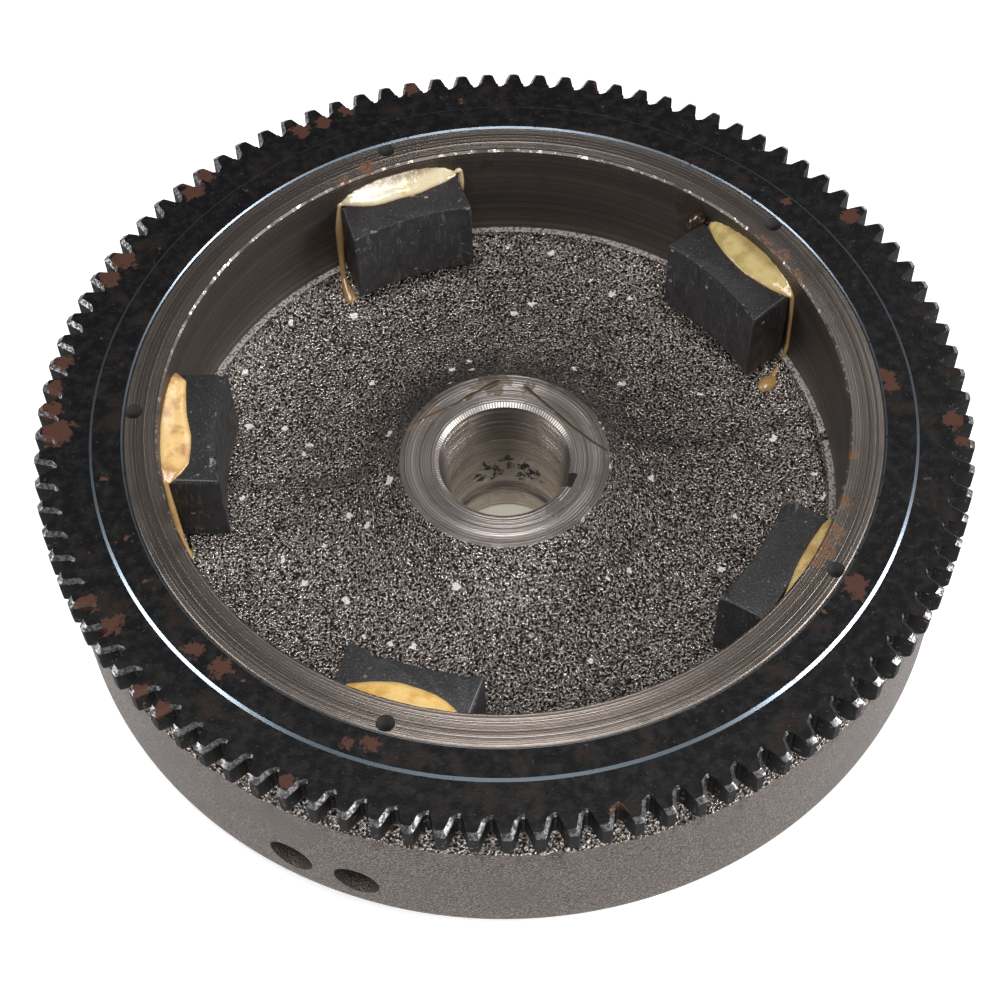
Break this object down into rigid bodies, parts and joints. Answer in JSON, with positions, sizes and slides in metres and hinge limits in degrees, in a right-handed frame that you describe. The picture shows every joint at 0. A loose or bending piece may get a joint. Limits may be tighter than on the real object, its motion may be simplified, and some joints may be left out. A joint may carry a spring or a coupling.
{
  "type": "engine flywheel with ring gear",
  "caption": "Cast-iron engine flywheel with a shrunk-on starter ring gear, bonded charging magnets inside the rim, and a keyed taper bore.",
  "frame": {"origin": "on the crank axis, in the plane of the fan-side nose of the hub and the feet of the fan vanes", "axes": "+Z along the crank axis towards the engine side, where the magnets and ring gear are; +X from the crank axis through the middle of one ring gear tooth, with the middle of the keyway 23 degrees clockwise of it when seen from +Z"},
  "size_m": [0.2565, 0.2566, 0.074],
  "materials": {
    "cast_iron": "sand-cast web, turned rim, hub and outer wall",
    "gear_steel": "blackened by shrink-fit heat, worn bright on the tooth chamfers, rust patches",
    "ferrite": "ground charcoal ceramic ferrite with chipped edges",
    "resin": "glossy amber potting resin"
  },
  "bodies": {
    "root": {"flywheel_body": "cast_iron", "ring_gear": "gear_steel", "magnet_1": "ferrite", "magnet_2": "ferrite", "magnet_3": "ferrite", "magnet_4": "ferrite", "magnet_5": "ferrite", "magnet_bond_1": "resin", "magnet_bond_2": "resin", "magnet_bond_3": "resin", "magnet_bond_4": "resin", "magnet_bond_5": "resin"}
  },
  "joints": []
}
